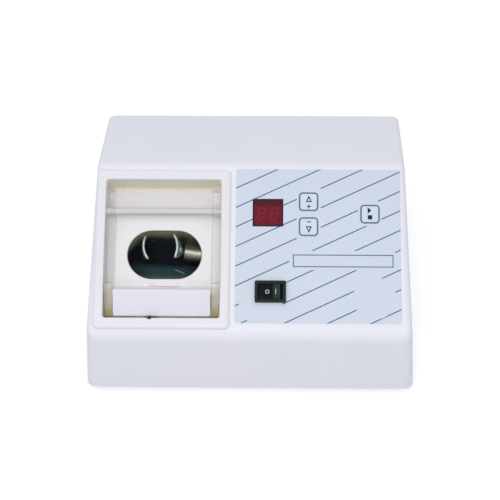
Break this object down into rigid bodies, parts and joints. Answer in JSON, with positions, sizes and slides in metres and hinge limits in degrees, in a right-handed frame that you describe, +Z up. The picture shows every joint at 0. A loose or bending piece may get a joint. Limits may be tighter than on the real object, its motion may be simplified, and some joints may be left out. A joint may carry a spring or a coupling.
{
  "type": "dental amalgamator",
  "caption": "White wedge-shaped bench mixer with a clear hinged cover over an oval chamber and shaking fork, a striped control panel with red display, flat keys and a rocker switch.",
  "frame": {"origin": "middle of the footprint, at the underside of the feet", "axes": "+X to the right of the front, +Y to the back, +Z up"},
  "size_m": [0.224, 0.2003, 0.117],
  "materials": {
    "housing_white": "fine moulded texture, satin",
    "tray_white": "satin moulded",
    "base_grey": "matte",
    "foot_rubber": "matte",
    "black_plastic": "satin",
    "cup_dark": "satin",
    "clear_acrylic": "polished, clear",
    "edge_acrylic": "polished, faint olive at the cut edges",
    "overlay_film": "printed film, satin",
    "key_film": "printed film, satin",
    "red_filter": "glossy, dark red",
    "display_grey": "matte",
    "board_green": "satin solder mask",
    "steel": "plain",
    "motor_steel": "satin",
    "hub_metal": "turned",
    "spring_steel": "polished",
    "brass": "turned",
    "core_iron": "varnished",
    "coil_tape": "taped",
    "nylon_white": "matte",
    "blade_metal": "bright"
  },
  "bodies": {
    "housing": {"upper_housing": "housing_white", "base_plate": "base_grey", "rubber_feet": "foot_rubber", "base_screws": "steel", "chamber_tray": "tray_white", "splash_cup": "cup_dark", "hinge_rod": "steel", "interlock_switch": "black_plastic", "panel_overlay": "overlay_film", "display_window": "red_filter", "display_module": "display_grey", "control_board": "board_green", "board_screws": "steel", "tact_switches": "black_plastic", "switch_body": "black_plastic", "motor_case": "motor_steel", "motor_bracket": "steel", "motor_screws": "steel", "vibration_mounts": "foot_rubber", "anti_rotation_spring": "spring_steel", "power_board": "board_green", "board_spacers": "nylon_white", "transformer_core": "core_iron", "transformer_coil": "coil_tape", "chassis_screws": "steel", "mains_inlet": "black_plastic", "inlet_blades": "blade_metal", "fuse_holder": "black_plastic", "fuse_cap": "black_plastic"},
    "cover": {"cover_sheet": "clear_acrylic", "cover_side_left": "edge_acrylic", "cover_side_right": "edge_acrylic", "cover_corner_blocks": "edge_acrylic"},
    "release_plunger": {"release_plunger": "black_plastic"},
    "key_up": {"key_up": "key_film"},
    "key_down": {"key_down": "key_film"},
    "key_start_stop": {"key_start_stop": "key_film"},
    "switch_rocker": {"switch_rocker": "black_plastic"},
    "rotor": {"motor_shaft": "steel", "balance_weight": "brass"},
    "fork": {"crank_bearings": "steel", "fork_hub": "hub_metal", "fork_frame": "spring_steel", "fork_screw": "steel"}
  },
  "joints": [
    {"name": "cover_hinge", "type": "hinge", "parent": "housing", "child": "cover", "pos_m": [-0.0592, -0.02377, 0.09732], "axis": [-1, 0, 0], "range_deg": [0, 98]},
    {"name": "release_plunger_slide", "type": "slide", "parent": "housing", "child": "release_plunger", "axis": [0, 0.5446, -0.8387], "range_m": [0, 0.0015], "stiffness_N_per_m": 300, "springref_m": -0.001},
    {"name": "key_up_press", "type": "slide", "parent": "housing", "child": "key_up", "axis": [0, 0.5446, -0.8387], "range_m": [0, 0.0004], "stiffness_N_per_m": 1500, "springref_m": -0.0002},
    {"name": "key_down_press", "type": "slide", "parent": "housing", "child": "key_down", "axis": [0, 0.5446, -0.8387], "range_m": [0, 0.0004], "stiffness_N_per_m": 1500, "springref_m": -0.0002},
    {"name": "key_start_stop_press", "type": "slide", "parent": "housing", "child": "key_start_stop", "axis": [0, 0.5446, -0.8387], "range_m": [0, 0.0004], "stiffness_N_per_m": 1500, "springref_m": -0.0002},
    {"name": "switch_rocker_tilt", "type": "hinge", "parent": "housing", "child": "switch_rocker", "pos_m": [0.014, -0.07096, 0.06644], "axis": [0, 0.8387, 0.5446], "range_deg": [0, 18]},
    {"name": "motor_spin", "type": "hinge", "parent": "housing", "child": "rotor", "pos_m": [-0.038, -0.0242, 0.05889], "axis": [1, 0, 0], "continuous": true},
    {"name": "fork_nutation", "type": "hinge", "parent": "rotor", "child": "fork", "pos_m": [-0.038, -0.0242, 0.05889], "axis": [0.9925, -0.1022, -0.0664], "continuous": true}
  ],
  "couplings": [
    {"joint": "fork_nutation", "follows": "motor_spin", "ratio": -1}
  ]
}
